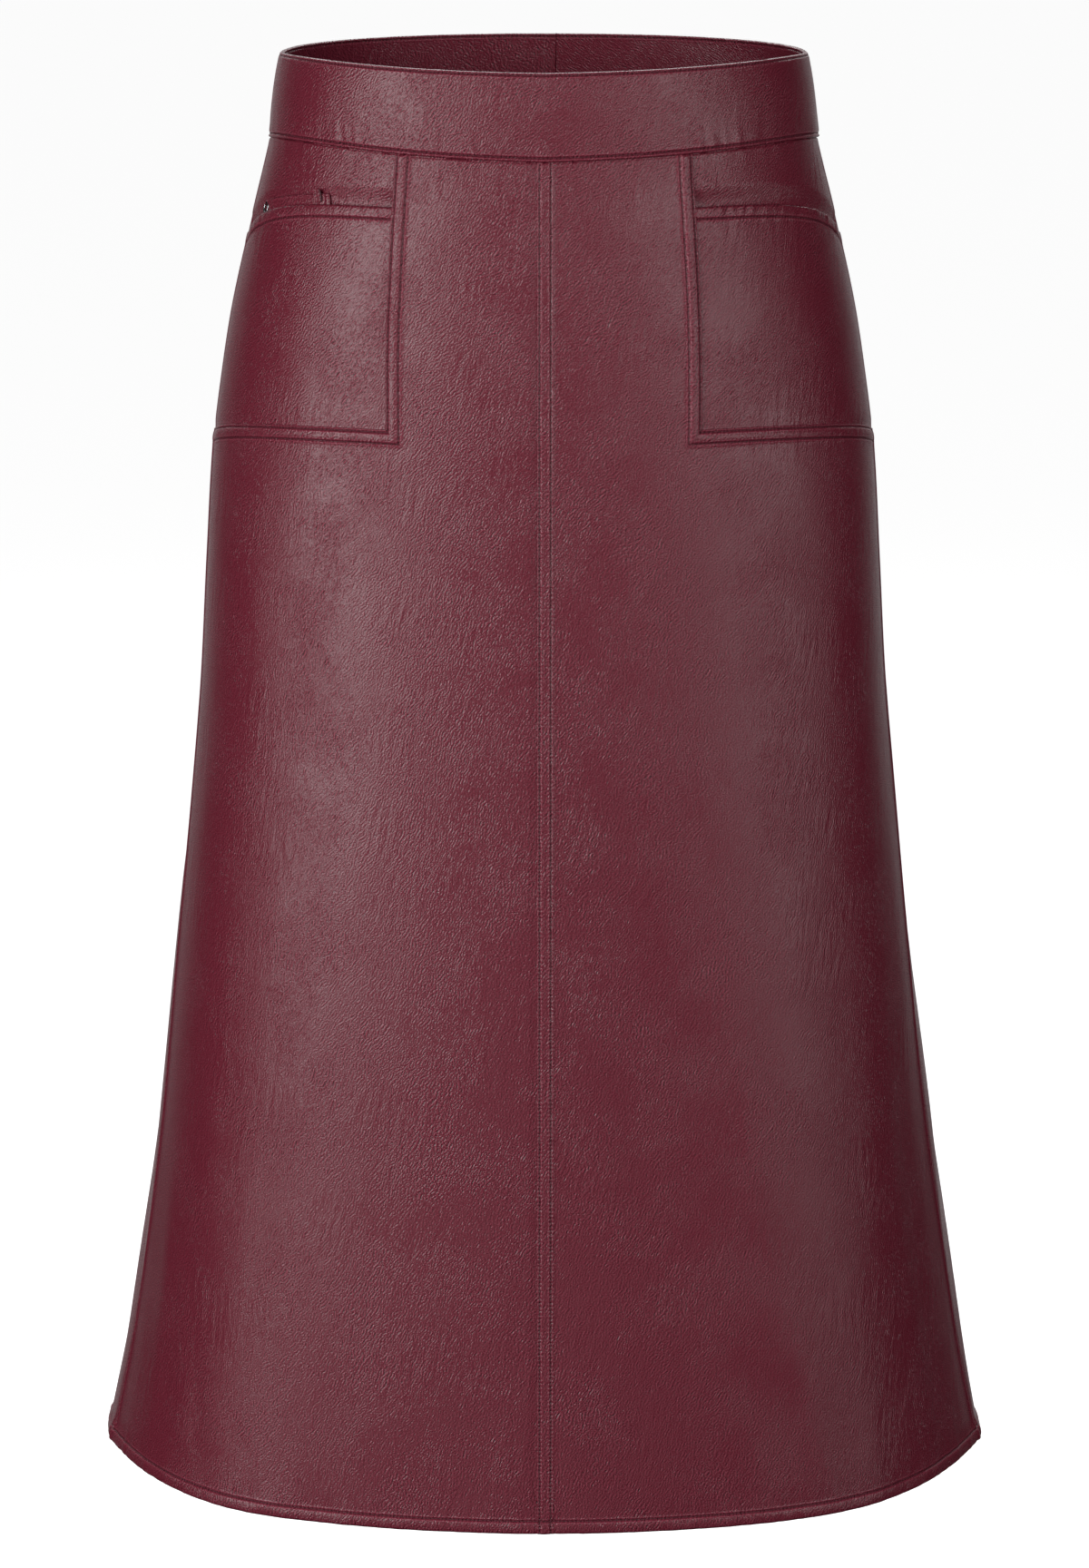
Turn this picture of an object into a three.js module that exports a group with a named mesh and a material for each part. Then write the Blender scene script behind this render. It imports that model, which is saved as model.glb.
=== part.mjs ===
// A flared leather skirt, waist to mid calf, standing in its own hollow worn shape.
// Millimetres, +Z up. The front faces -Y and the wearer's left is +X.
// The origin is the centre of the waistband, half way up its height.
//
// The cloth is one smooth surface, worked out from the table of sections below. Every piece is a wall
// cut from that surface: its outer and inner points are surface points moved out or in along the normal.
import * as THREE from 'three';

// Driving sizes
const BAND_HEIGHT = 46;          // waistband, rim to waist seam
const HEM_HEIGHT = -757;         // height of the hem edge
const LEATHER = 1.1;             // one layer of leather
const BAND_OUT = 1.2;            // the folded waistband stands this far outside the skirt
const BAND_IN = 1.8;             // and this far inside it
const SEAM_GAP = 0.3;            // room between two pieces at a seam
const LAP = 7.3;                 // width of a double stitched lap, and of the turned hem
const LAP_RISE = 0.8;            // seam allowances lift the lap this far
const LAP_STEP = 0.7;            // the lap falls back to the panel over this width
const MOUTH_HEM = 6.4;           // turned edge of a pocket mouth
const CENTRE_LAP = 3.6;          // the centre front seam lies this far to the wearer's right
const BACK_SEAM_SHIFT = 7;       // the centre back seam lies this far to the wearer's left at the rim
const BACK_SEAM_TRUE = -400;     // and runs true from this height down
const ROUNDNESS_FRONT = 2.21;    // 2 is an ellipse, more is squarer
const ROUNDNESS_BACK = 2.1;

// Sections of the hanging skirt: half width, and depth before and behind the origin
const SECTIONS = [
  { z: 40, halfWidth: 138.6, front: 103.2, back: 95.8 },
  { z: 23, halfWidth: 141.0, front: 105.0, back: 98.0 },
  { z: -23, halfWidth: 147.6, front: 110.0, back: 104.0 },
  { z: -60, halfWidth: 156.6, front: 115.0, back: 113.0 },
  { z: -110, halfWidth: 168.2, front: 121.0, back: 124.0 },
  { z: -150, halfWidth: 174.8, front: 125.5, back: 131.0 },
  { z: -190, halfWidth: 179.9, front: 129.0, back: 135.0 },
  { z: -250, halfWidth: 184.0, front: 133.5, back: 137.5 },
  { z: -330, halfWidth: 189.2, front: 139.5, back: 140.0 },
  { z: -450, halfWidth: 202.3, front: 149.0, back: 146.0 },
  { z: -580, halfWidth: 218.8, front: 160.0, back: 155.5 },
  { z: -690, halfWidth: 235.6, front: 170.0, back: 166.0 },
  { z: -757, halfWidth: 249.0, front: 176.0, back: 174.0 },
  { z: -775, halfWidth: 252.6, front: 177.6, back: 176.2 },
];

// Soft folds that open towards the hem: where each lies round the body in degrees from centre front,
// how far it reaches to each side, its height at the hem (a trough is negative) and where it starts
const FOLDS = [
  { angle: 39, reach: 11, height: 2.65, start: -300 },
  { angle: 69, reach: 16, height: -4.35, start: -300 },
  { angle: 112, reach: 16, height: -3.0, start: -260 },
  { angle: 146, reach: 13, height: 3.2, start: -260 },
];
const FOLD_GROWTH = 1.3;

// Where the side seam runs, in degrees from centre front
const SIDE_SEAM = [
  { z: 40, angle: 87 },
  { z: -190, angle: 86.5 },
  { z: -330, angle: 85.5 },
  { z: -450, angle: 82 },
  { z: -580, angle: 79.5 },
  { z: -775, angle: 80.5 },
];

// Pocket sizes: angles in degrees from centre front, heights in mm
const POCKET_EDGE_TOP = 31;      // inner edge of the pocket at the waist seam
const POCKET_EDGE_SLOPE = 0.025; // degrees nearer the centre for each mm down
const POCKET_EDGE_FROM = -20;
const MOUTH_HEIGHT = -47.8;      // mouth at its inner end
const MOUTH_DROP = 27;           // and how much lower it is at the side seam
const MOUTH_CURVE = 2.3;
const FOOT_HEIGHT = -163;        // pocket foot at its inner end
const FOOT_DROP = 18;
const POCKET_ROOM = 1.7;         // clear depth of the pocket behind its front
const YOKE_DIP = 12;             // the yoke starts to fall behind the pocket this far above the mouth
const YOKE_DIP_END = 1;

// The strap that stands out of the wearer's right pocket: distances round the cloth from centre front
const STRAP_TIP = 118.7;
const STRAP_KEEPER_FROM = 124.6;
const STRAP_KEEPER_TO = 130.4;
const STRAP_END = 181.5;
const STRAP_ABOVE = 7;           // it shows this far above the mouth
const STRAP_BELOW = 5;           // and reaches this far down into the pocket
const EYELET_AT = 176.5;
const EYELET_ABOVE = 4.3;
const EYELET_RADIUS = 3.6;
const EYELET_HOLE = 1.9;
const EYELET_THICK = 0.9;

// How finely the walls are divided
const POCKET_COLUMNS = 9;
const POCKET_ROWS = 5;
const CENTRE_COLUMNS = 4;
const SKIRT_ROWS = 12;
const BACK_COLUMNS = 13;
const BACK_ROWS = 18;
const BAND_ROWS = 3;
const BAND_FRONT_COLUMNS = 30;
const BAND_BACK_COLUMNS = 14;
const STRAP_COLUMNS = 12;
const KEEPER_COLUMNS = 2;
const EYELET_SIDES = 28;

const RAD = Math.PI / 180;
const mix = (a, b, t) => a + (b - a) * t;
const clamp01 = (t) => Math.min(1, Math.max(0, t));

// A smooth curve through one column of a table whose rows run from high z to low z
function smooth(rows, column, z) {
  let i = 0;
  while (i < rows.length - 2 && z < rows[i + 1].z) i++;
  const slope = (k) => {
    const a = rows[Math.max(0, k - 1)];
    const b = rows[Math.min(rows.length - 1, k + 1)];
    return (b[column] - a[column]) / (b.z - a.z);
  };
  const step = rows[i + 1].z - rows[i].z;
  const t = (z - rows[i].z) / step;
  return (1 + 2 * t) * (1 - t) ** 2 * rows[i][column]
    + t * (1 - t) ** 2 * step * slope(i)
    + t * t * (3 - 2 * t) * rows[i + 1][column]
    + t * t * (t - 1) * step * slope(i + 1);
}

// How far the folds push the cloth out at an angle and height
function foldHeight(angle, z) {
  let sum = 0;
  for (const f of FOLDS) {
    const open = clamp01((f.start - z) / (f.start - HEM_HEIGHT)) ** FOLD_GROWTH;
    sum += f.height * open * Math.exp(-(((Math.abs(angle) - f.angle) / f.reach) ** 2));
  }
  return sum;
}

// A point of the cloth. The angle is 0 at centre front, 90 at the wearer's left and 180 at centre back
function clothPoint(angle, z) {
  const s = Math.sin(angle * RAD);
  const c = Math.cos(angle * RAD);
  const n = c > 0 ? ROUNDNESS_FRONT : ROUNDNESS_BACK;
  const k = (Math.abs(s) ** n + Math.abs(c) ** n) ** (-1 / n);
  const depth = smooth(SECTIONS, c > 0 ? 'front' : 'back', z);
  const fold = foldHeight(angle, z);
  return new THREE.Vector3(
    smooth(SECTIONS, 'halfWidth', z) * s * k + s * fold,
    -depth * c * k - c * fold,
    z,
  );
}

// A point moved out along the cloth's normal
function clothPointOut(angle, z, out) {
  const round = clothPoint(angle + 0.5, z).sub(clothPoint(angle - 0.5, z));
  const up = clothPoint(angle, z + 1).sub(clothPoint(angle, z - 1));
  const normal = round.cross(up).normalize();
  return clothPoint(angle, z).addScaledVector(normal, out);
}

// Degrees that a distance round the cloth takes up at one place
const degreesFor = (distance, angle, z) =>
  distance / clothPoint(angle + 0.5, z).distanceTo(clothPoint(angle - 0.5, z));

// The angle that lies a distance round the cloth from centre front
function angleAtDistance(distance, z) {
  const step = 0.5;
  let angle = 0;
  let gone = 0;
  for (;;) {
    const next = clothPoint(angle, z).distanceTo(clothPoint(angle + step, z));
    if (gone + next >= distance) return angle + step * (distance - gone) / next;
    gone += next;
    angle += step;
  }
}

// Lines drawn on the cloth
const bandWave = (angle) => {
  const a = Math.abs(angle) * RAD;
  return Math.abs(angle) < 90 ? 0.85 * Math.sin(2 * a) - 0.22 * Math.sin(4 * a) : 0;
};
const rimHeight = (angle) => BAND_HEIGHT / 2 + 3 * bandWave(angle);
const waistSeam = (angle) => -BAND_HEIGHT / 2 + 5.3 * bandWave(angle);
const sideSeam = (z) => smooth(SIDE_SEAM, 'angle', z);
const pocketEdge = (z) => POCKET_EDGE_TOP - POCKET_EDGE_SLOPE * (POCKET_EDGE_FROM - z);
const pocketFoot = (angle) => {
  const inner = pocketEdge(FOOT_HEIGHT);
  return FOOT_HEIGHT - FOOT_DROP * clamp01((angle - inner) / (sideSeam(FOOT_HEIGHT) - inner)) ** 2;
};
const pocketMouth = (angle) => {
  const inner = pocketEdge(MOUTH_HEIGHT);
  const part = clamp01((angle - inner) / (sideSeam(MOUTH_HEIGHT) - inner));
  return MOUTH_HEIGHT - MOUTH_DROP * part ** MOUTH_CURVE;
};
const backSeamShift = (z) =>
  BACK_SEAM_SHIFT * clamp01((z - BACK_SEAM_TRUE) / (BAND_HEIGHT / 2 - BACK_SEAM_TRUE));

// The yoke's outer face: level with the skirt above the mouth, behind the pocket below it
function yokeOut(angle, z) {
  const above = z - pocketMouth(angle);
  const fall = clamp01((YOKE_DIP - above) / (YOKE_DIP - YOKE_DIP_END));
  return -(LEATHER + POCKET_ROOM) * fall;
}

// Where a column, an angle that changes with height, meets a row, a height that changes with angle
function meet(column, row, nearAngle) {
  let z = row(nearAngle);
  for (let pass = 0; pass < 3; pass++) z = row(column(z));
  return { angle: column(z), z };
}

// A closed wall over a grid of cloth places. place(i, j) gives { angle, z, out, into }: the outer and
// inner faces lie at out and into. keep(i, j) says which cells belong to the piece.
function wall(columns, rows, place, keep = () => true) {
  const positions = [];
  const index = [];
  const outer = new Map();
  const key = (i, j) => i * (rows + 1) + j;
  const corner = (i, j) => {
    if (!outer.has(key(i, j))) {
      const at = place(i, j);
      outer.set(key(i, j), positions.length / 3);
      positions.push(...clothPointOut(at.angle, at.z, at.out).toArray());
      positions.push(...clothPointOut(at.angle, at.z, at.into).toArray());
    }
    return outer.get(key(i, j));
  };
  const inGrid = (i, j) => i >= 0 && j >= 0 && i < columns && j < rows && keep(i, j);
  for (let i = 0; i < columns; i++) {
    for (let j = 0; j < rows; j++) {
      if (!inGrid(i, j)) continue;
      const a = corner(i, j);
      const b = corner(i + 1, j);
      const c = corner(i + 1, j + 1);
      const d = corner(i, j + 1);
      index.push(a, c, b, a, d, c);
      index.push(a + 1, b + 1, c + 1, a + 1, c + 1, d + 1);
      const edges = [[a, b, i, j - 1], [b, c, i + 1, j], [c, d, i, j + 1], [d, a, i - 1, j]];
      for (const [p, q, ni, nj] of edges) {
        if (!inGrid(ni, nj)) index.push(p, q, q + 1, p, q + 1, p + 1);
      }
    }
  }
  return closedGeometry(positions, index);
}

// A geometry from points and triangles, turned so that its faces point out
function closedGeometry(positions, index) {
  const p = (k) => new THREE.Vector3().fromArray(positions, 3 * k);
  let volume = 0;
  for (let k = 0; k < index.length; k += 3) {
    volume += p(index[k]).dot(p(index[k + 1]).cross(p(index[k + 2])));
  }
  if (volume < 0) index.reverse();
  const geometry = new THREE.BufferGeometry();
  geometry.setAttribute('position', new THREE.Float32BufferAttribute(positions, 3));
  geometry.setIndex(index);
  geometry.computeVertexNormals();
  return geometry;
}

const evenly = (count) => Array.from({ length: count + 1 }, (_, k) => k / count);

// Lines spread evenly between two lines, with neither of the two
const between = (from, to, parts) =>
  evenly(parts).slice(1, -1).map((t) => (v) => mix(from(v), to(v), t));

// One of the two big front pieces, shaped like an L round its pocket.
// side is 1 for the wearer's left and -1 for the right; the left one has the raised centre lap.
function frontPanel(side) {
  const lapped = side > 0;
  // Columns as functions of height: centre seam, to the pocket edge, then on to the side seam
  const start = (z) => {
    const x = side * -CENTRE_LAP + SEAM_GAP / 2;
    return degreesFor(x, 0, z);
  };
  const edge = (z) => pocketEdge(Math.max(z, FOOT_HEIGHT)) - degreesFor(SEAM_GAP / 2, 30, z);
  const inFromEdge = (distance) => (z) => edge(z) - degreesFor(distance, 30, z);
  const inFromStart = (distance) => (z) => start(z) + degreesFor(distance, 0, z);
  const end = (z) => sideSeam(z) - degreesFor(SEAM_GAP / 2, sideSeam(z), z);
  const first = lapped ? [start, inFromStart(LAP), inFromStart(LAP + LAP_STEP)] : [start];
  const lapStart = inFromEdge(LAP + LAP_STEP);
  const columns = [
    ...first,
    ...between(first[first.length - 1], lapStart, CENTRE_COLUMNS),
    lapStart,
    inFromEdge(LAP),
    edge,
    ...between(edge, end, POCKET_COLUMNS),
    end,
  ];
  const edgeColumn = columns.indexOf(edge);

  // Rows as functions of the angle: waist seam, pocket foot, its lap, and down to the turned hem
  const top = (a) => waistSeam(a) - SEAM_GAP;
  const foot = (a) => pocketFoot(a) - SEAM_GAP / 2;
  const lapEnd = (a) => foot(a) - LAP - LAP_STEP;
  const hemTop = () => HEM_HEIGHT + LAP + LAP_STEP;
  const rows = [
    top,
    ...between(top, foot, POCKET_ROWS),
    foot,
    (a) => foot(a) - LAP,
    lapEnd,
    ...between(lapEnd, hemTop, SKIRT_ROWS),
    hemTop,
    () => HEM_HEIGHT + LAP,
    () => HEM_HEIGHT,
  ];
  const footRow = rows.indexOf(foot);

  const place = (i, j) => {
    const { angle, z } = meet(columns[i], rows[j], POCKET_EDGE_TOP);
    const onCentreLap = lapped && i <= 1;
    const onPocketLap = i >= edgeColumn - 1 && j <= footRow + 1 && (i <= edgeColumn || j >= footRow);
    const onHem = j >= rows.length - 2;
    return {
      angle: side * angle,
      z,
      out: onCentreLap || onPocketLap || onHem ? LAP_RISE : 0,
      into: onHem ? -2 * LEATHER : -LEATHER,
    };
  };
  return wall(columns.length - 1, rows.length - 1, place, (i, j) => i < edgeColumn || j >= footRow);
}

// The pocket's front, which fills the corner of the L. Its mouth is turned and stitched.
function pocketFront(side) {
  const inner = (z) => pocketEdge(z) + degreesFor(SEAM_GAP / 2, 30, z);
  const outer = (z) => sideSeam(z) - degreesFor(SEAM_GAP / 2, sideSeam(z), z);
  const columns = [inner, ...between(inner, outer, POCKET_COLUMNS), outer];
  const hemEnd = (a) => pocketMouth(a) - MOUTH_HEM - LAP_STEP;
  const foot = (a) => pocketFoot(a) + SEAM_GAP / 2;
  const rows = [
    pocketMouth,
    (a) => pocketMouth(a) - MOUTH_HEM,
    hemEnd,
    ...between(hemEnd, foot, POCKET_ROWS),
    foot,
  ];
  return wall(POCKET_COLUMNS, rows.length - 1, (i, j) => {
    const { angle, z } = meet(columns[i], rows[j], POCKET_EDGE_TOP);
    return { angle: side * angle, z, out: j <= 1 ? LAP_RISE / 2 : 0, into: -LEATHER };
  });
}

// The yoke above the pocket, which runs on down behind it as the pocket's back
function hipYoke(side) {
  const inner = (z) => pocketEdge(z) + degreesFor(SEAM_GAP / 2, 30, z);
  const outer = (z) => sideSeam(z) - degreesFor(SEAM_GAP / 2, sideSeam(z), z);
  const columns = [inner, ...between(inner, outer, POCKET_COLUMNS), outer];
  const top = (a) => waistSeam(a) - SEAM_GAP;
  const dipStart = (a) => pocketMouth(a) + YOKE_DIP;
  const dipEnd = (a) => pocketMouth(a) + YOKE_DIP_END;
  const foot = (a) => pocketFoot(a) + SEAM_GAP / 2;
  const rows = [
    top,
    dipStart,
    (a) => mix(dipStart(a), dipEnd(a), 0.5),
    dipEnd,
    ...between(dipEnd, foot, POCKET_ROWS),
    foot,
  ];
  return wall(POCKET_COLUMNS, rows.length - 1, (i, j) => {
    const { angle, z } = meet(columns[i], rows[j], POCKET_EDGE_TOP);
    const out = yokeOut(angle, z);
    return { angle: side * angle, z, out, into: out - LEATHER };
  });
}

// One half of the back, from the centre back seam round to the side seam
function backPanel(side) {
  const centre = (z) => {
    const shift = side * backSeamShift(z) + SEAM_GAP / 2;
    return 180 - degreesFor(shift, 180, z);
  };
  const outer = (z) => sideSeam(z) + degreesFor(SEAM_GAP / 2, sideSeam(z), z);
  const columns = [outer, ...between(outer, centre, BACK_COLUMNS), centre];
  const top = (a) => waistSeam(a) - SEAM_GAP;
  const hemTop = () => HEM_HEIGHT + LAP + LAP_STEP;
  const rows = [
    top,
    ...between(top, hemTop, BACK_ROWS),
    hemTop,
    () => HEM_HEIGHT + LAP,
    () => HEM_HEIGHT,
  ];
  return wall(BACK_COLUMNS, rows.length - 1, (i, j) => {
    const { angle, z } = meet(columns[i], rows[j], 90);
    const onHem = j >= rows.length - 2;
    return { angle: side * angle, z, out: onHem ? LAP_RISE : 0, into: onHem ? -2 * LEATHER : -LEATHER };
  });
}

// A stretch of the folded waistband between two angles
function bandPiece(from, to, parts) {
  return wall(parts, BAND_ROWS, (i, j) => {
    const angle = mix(from, to, i / parts);
    return {
      angle,
      z: mix(rimHeight(angle), waistSeam(angle), j / BAND_ROWS),
      out: BAND_OUT,
      into: -BAND_IN,
    };
  });
}

function waistbandFront() {
  const end = sideSeam(0) - degreesFor(SEAM_GAP / 2, sideSeam(0), 0);
  return bandPiece(-end, end, BAND_FRONT_COLUMNS);
}

function waistbandBack(side) {
  const shift = side * BACK_SEAM_SHIFT + SEAM_GAP / 2;
  const from = sideSeam(0) + degreesFor(SEAM_GAP / 2, sideSeam(0), 0);
  const to = 180 - degreesFor(shift, 180, 0);
  return bandPiece(side * from, side * to, BAND_BACK_COLUMNS);
}

// The strap's inner face, which follows the yoke down into the pocket
const strapIn = (angle, z) => yokeOut(angle, z) + SEAM_GAP;

function pocketStrap() {
  const heights = [STRAP_ABOVE, YOKE_DIP_END, -STRAP_BELOW];
  return wall(STRAP_COLUMNS, heights.length - 1, (i, j) => {
    const angle = angleAtDistance(mix(STRAP_TIP, STRAP_END, i / STRAP_COLUMNS), MOUTH_HEIGHT);
    const z = pocketMouth(angle) + heights[j];
    const into = strapIn(angle, z);
    return { angle: -angle, z, out: into + LEATHER, into };
  });
}

function strapKeeper() {
  const heights = [STRAP_ABOVE + SEAM_GAP, YOKE_DIP_END + SEAM_GAP];
  return wall(KEEPER_COLUMNS, heights.length - 1, (i, j) => {
    const part = i / KEEPER_COLUMNS;
    const angle = angleAtDistance(mix(STRAP_KEEPER_FROM, STRAP_KEEPER_TO, part), MOUTH_HEIGHT);
    const z = pocketMouth(angle) + heights[j];
    const into = strapIn(angle, z) + LEATHER + SEAM_GAP;
    return { angle: -angle, z, out: into + LEATHER, into };
  });
}

// The metal eyelet, turned about the strap's own normal
function placeEyelet(mesh) {
  const angle = angleAtDistance(EYELET_AT, MOUTH_HEIGHT);
  const z = pocketMouth(angle) + EYELET_ABOVE;
  const face = (a, h) => clothPointOut(-a, h, strapIn(a, h) + LEATHER);
  const round = face(angle - 0.5, z).sub(face(angle + 0.5, z));
  const up = face(angle, z + 1).sub(face(angle, z - 1));
  const normal = round.cross(up).normalize();
  mesh.quaternion.setFromUnitVectors(new THREE.Vector3(0, 1, 0), normal);
  mesh.position.copy(face(angle, z)).addScaledVector(normal, SEAM_GAP);
}

// A flat ring with a raised middle, its axis along Y
function eyeletGeometry() {
  const middle = (EYELET_RADIUS + EYELET_HOLE) / 2;
  const profile = [
    [EYELET_HOLE, 0],
    [EYELET_RADIUS, 0],
    [EYELET_RADIUS, EYELET_THICK / 3],
    [middle + 0.4, EYELET_THICK],
    [middle - 0.4, EYELET_THICK],
    [EYELET_HOLE, EYELET_THICK / 3],
    [EYELET_HOLE, 0],
  ].map(([r, y]) => new THREE.Vector2(r, y));
  return new THREE.LatheGeometry(profile, EYELET_SIDES);
}

// Materials
const leather = new THREE.MeshStandardMaterial({ color: 0x5c2530, roughness: 0.42, metalness: 0 });
const metal = new THREE.MeshStandardMaterial({ color: 0x8a8a8c, roughness: 0.3, metalness: 1 });

const skirt = new THREE.Group();
function add(name, geometry, material) {
  const mesh = new THREE.Mesh(geometry, material.clone());
  mesh.name = name;
  skirt.add(mesh);
  return mesh;
}

for (const [word, side] of [['left', 1], ['right', -1]]) {
  add(`front_panel_${word}`, frontPanel(side), leather);
  add(`pocket_front_${word}`, pocketFront(side), leather);
  add(`hip_yoke_${word}`, hipYoke(side), leather);
  add(`back_panel_${word}`, backPanel(side), leather);
  add(`waistband_back_${word}`, waistbandBack(side), leather);
}
add('waistband_front', waistbandFront(), leather);
add('pocket_strap', pocketStrap(), leather);
add('strap_keeper', strapKeeper(), leather);
placeEyelet(add('strap_eyelet', eyeletGeometry(), metal));

export default skirt;
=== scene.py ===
import math

import bpy
import numpy as np
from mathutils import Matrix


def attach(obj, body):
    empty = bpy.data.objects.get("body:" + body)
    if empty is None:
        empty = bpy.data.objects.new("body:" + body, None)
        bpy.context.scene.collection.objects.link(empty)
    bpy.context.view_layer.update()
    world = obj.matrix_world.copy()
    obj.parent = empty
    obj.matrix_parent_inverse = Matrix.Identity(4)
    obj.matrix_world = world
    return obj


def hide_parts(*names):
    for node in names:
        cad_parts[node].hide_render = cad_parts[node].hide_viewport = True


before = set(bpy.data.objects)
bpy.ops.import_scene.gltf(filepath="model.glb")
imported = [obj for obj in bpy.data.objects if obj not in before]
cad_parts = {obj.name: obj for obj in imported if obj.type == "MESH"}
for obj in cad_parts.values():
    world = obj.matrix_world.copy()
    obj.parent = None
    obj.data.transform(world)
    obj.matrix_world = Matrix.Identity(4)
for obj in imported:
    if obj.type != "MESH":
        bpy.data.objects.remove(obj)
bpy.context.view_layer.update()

# A flared burgundy leather skirt, waist to mid calf, in its hollow worn shape. Sizes are in millimetres
# and angles in degrees, until a mesh is made. The front faces -Y, the wearer's left is +X, and the origin
# is the middle of the waistband. "side" is 1 for the wearer's left and -1 for the right, whose pieces
# are worked out as left ones and mirrored.
MM = 0.001

# The cut: sections of the skirt as it hangs, from the rim to the hem
SECTIONS = {
    "z":          [40, 23, -23, -60, -110, -150, -190, -250, -330, -450, -580, -690, -757, -775],
    "half_width": [138.6, 141.0, 147.6, 156.6, 168.2, 174.8, 179.9, 184.0, 189.2, 202.3, 218.8, 235.6,
                   249.0, 252.6],
    "front":      [103.2, 105.0, 110.0, 115.0, 121.0, 125.5, 129.0, 133.5, 139.5, 149.0, 160.0, 170.0,
                   176.0, 177.6],
    "back":       [95.8, 98.0, 104.0, 113.0, 124.0, 131.0, 135.0, 137.5, 140.0, 146.0, 155.5, 166.0,
                   174.0, 176.2],
}
ROUNDNESS_FRONT = 2.21
ROUNDNESS_BACK = 2.1
SIDE_SEAM = {
    "z":     [40, -190, -330, -450, -580, -775],
    "angle": [87, 86.5, 85.5, 82, 79.5, 80.5],
}
# Soft folds that open towards the hem
FOLDS = {
    "angle":  [39, 69, 112, 146],
    "reach":  [11, 16, 16, 13],
    "height": [2.65, -4.35, -3.0, 3.2],
    "start":  [-300, -300, -260, -260],
}
FOLD_GROWTH = 1.3
HEM = -757.0
BAND = 46.0              # the waistband's height at the sides
RIM_WAVE, SEAM_WAVE = 3.0, 5.3
# The pocket's inner edge has this angle at the height FROM, and less in proportion below it
POCKET_EDGE_TOP, POCKET_EDGE_SLOPE, POCKET_EDGE_FROM = 31.0, 0.025, -20.0
# Heights of the pocket's mouth and foot at that edge, and how far they drop on the way to the side seam
MOUTH, MOUTH_DROP, MOUTH_CURVE = -47.6, 27.0, 2.6
FOOT, FOOT_DROP = -163.0, 18.0
# The yoke falls back by the pocket's depth, from one height above the mouth to another
YOKE_DIP, YOKE_DIP_END, POCKET_DEPTH = 12.0, 1.0, 2.8

# How it is sewn
LEATHER = 1.1
EDGE_STITCH = 1.4        # first row of a twin stitched lap, in from its edge
GAUGE = 6.0              # between the twin rows
LAP = EDGE_STITCH + GAUGE
LAP_RISE = 0.6           # seam allowances lift the lap
UNDER = 0.42             # the piece under a lap lies this far in
UNDERLAP = 5.0           # and reaches this far beneath it
CENTRE_LAP = 3.5         # the left front reaches this far past the centre front
CENTRE_ROWS = (1.2, 1.2 + GAUGE)
HEM_TURN = 7.3
MOUTH_TURN = 6.4
BAND_OUT = 1.2           # the waistband's faces, out and in from the cloth
BAND_IN = 1.8
RIM_STITCH = 1.5
SEAM_STITCH = 2.1
STITCH = 2.2
THREAD_RADIUS, THREAD_ARCH = 0.24, 0.12
# How wide and how deep each row of stitches sinks
SINKS = {
    "lap_edge": (0.75, 0.5),
    "lap":      (0.8, 0.6),
    "centre":   (0.75, 0.5),
    "hem":      (0.95, 0.75),
    "mouth":    (0.9, 0.6),
    "rim":      (0.6, 0.4),
    "waist":    (0.8, 0.6),
}
# The centre back seam is true up to a height, and shifted this far at the rim
BACK_SEAM_SHIFT, BACK_SEAM_TRUE = 7.0, -400.0


# The cloth's surface

def smooth(table, column, z):
    """The cubic Hermite curve through one column of a table whose z falls from row to row."""
    at, value = np.array(table["z"], float), np.array(table[column], float)
    row = np.arange(len(at))
    before, after = np.maximum(row - 1, 0), np.minimum(row + 1, len(at) - 1)
    slope = (value[after] - value[before]) / (at[after] - at[before])
    i = np.clip(np.searchsorted(-at, -np.asarray(z, float), side="right") - 1, 0, len(at) - 2)
    step = at[i + 1] - at[i]
    t = (z - at[i]) / step
    return ((1 + 2 * t) * (1 - t) ** 2 * value[i] + t * (1 - t) ** 2 * step * slope[i]
            + t * t * (3 - 2 * t) * value[i + 1] + t * t * (t - 1) * step * slope[i + 1])


def cloth(angle, z):
    """A superellipse at each height, |x/a|^n + |y/b|^n = 1, pushed out and in by the folds."""
    angle, z = np.broadcast_arrays(np.asarray(angle, float), np.asarray(z, float))
    s, c = np.sin(np.radians(angle)), np.cos(np.radians(angle))
    n = np.where(c > 0, ROUNDNESS_FRONT, ROUNDNESS_BACK)
    k = (np.abs(s) ** n + np.abs(c) ** n) ** (-1 / n)
    depth = np.where(c > 0, smooth(SECTIONS, "front", z), smooth(SECTIONS, "back", z))
    fold = 0
    for at, reach, height, start in zip(*FOLDS.values()):
        grown = np.clip((start - z) / (start - HEM), 0, 1) ** FOLD_GROWTH
        fold = fold + height * grown * np.exp(-((np.abs(angle) - at) / reach) ** 2)
    return np.stack([smooth(SECTIONS, "half_width", z) * s * k + s * fold, -depth * c * k - c * fold, z],
                    axis=-1)


def cloth_normal(angle, z):
    """The unit normal: the cross product of the steps round and up the cloth."""
    round_it = cloth(angle + 0.25, z) - cloth(angle - 0.25, z)
    up = cloth(angle, z + 1) - cloth(angle, z - 1)
    normal = np.cross(round_it, up)
    return normal / np.linalg.norm(normal, axis=-1, keepdims=True)


def in_table(table, row, column):
    """Bilinear interpolation at fractional rows and columns."""
    r = np.clip(np.floor(row).astype(int), 0, table.shape[0] - 2)
    c = np.clip(np.floor(column).astype(int), 0, table.shape[1] - 2)
    fr, fc = np.clip(row - r, 0, 1), np.clip(column - c, 0, 1)
    return ((table[r, c] * (1 - fc) + table[r, c + 1] * fc) * (1 - fr)
            + (table[r + 1, c] * (1 - fc) + table[r + 1, c + 1] * fc) * fr)


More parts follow.
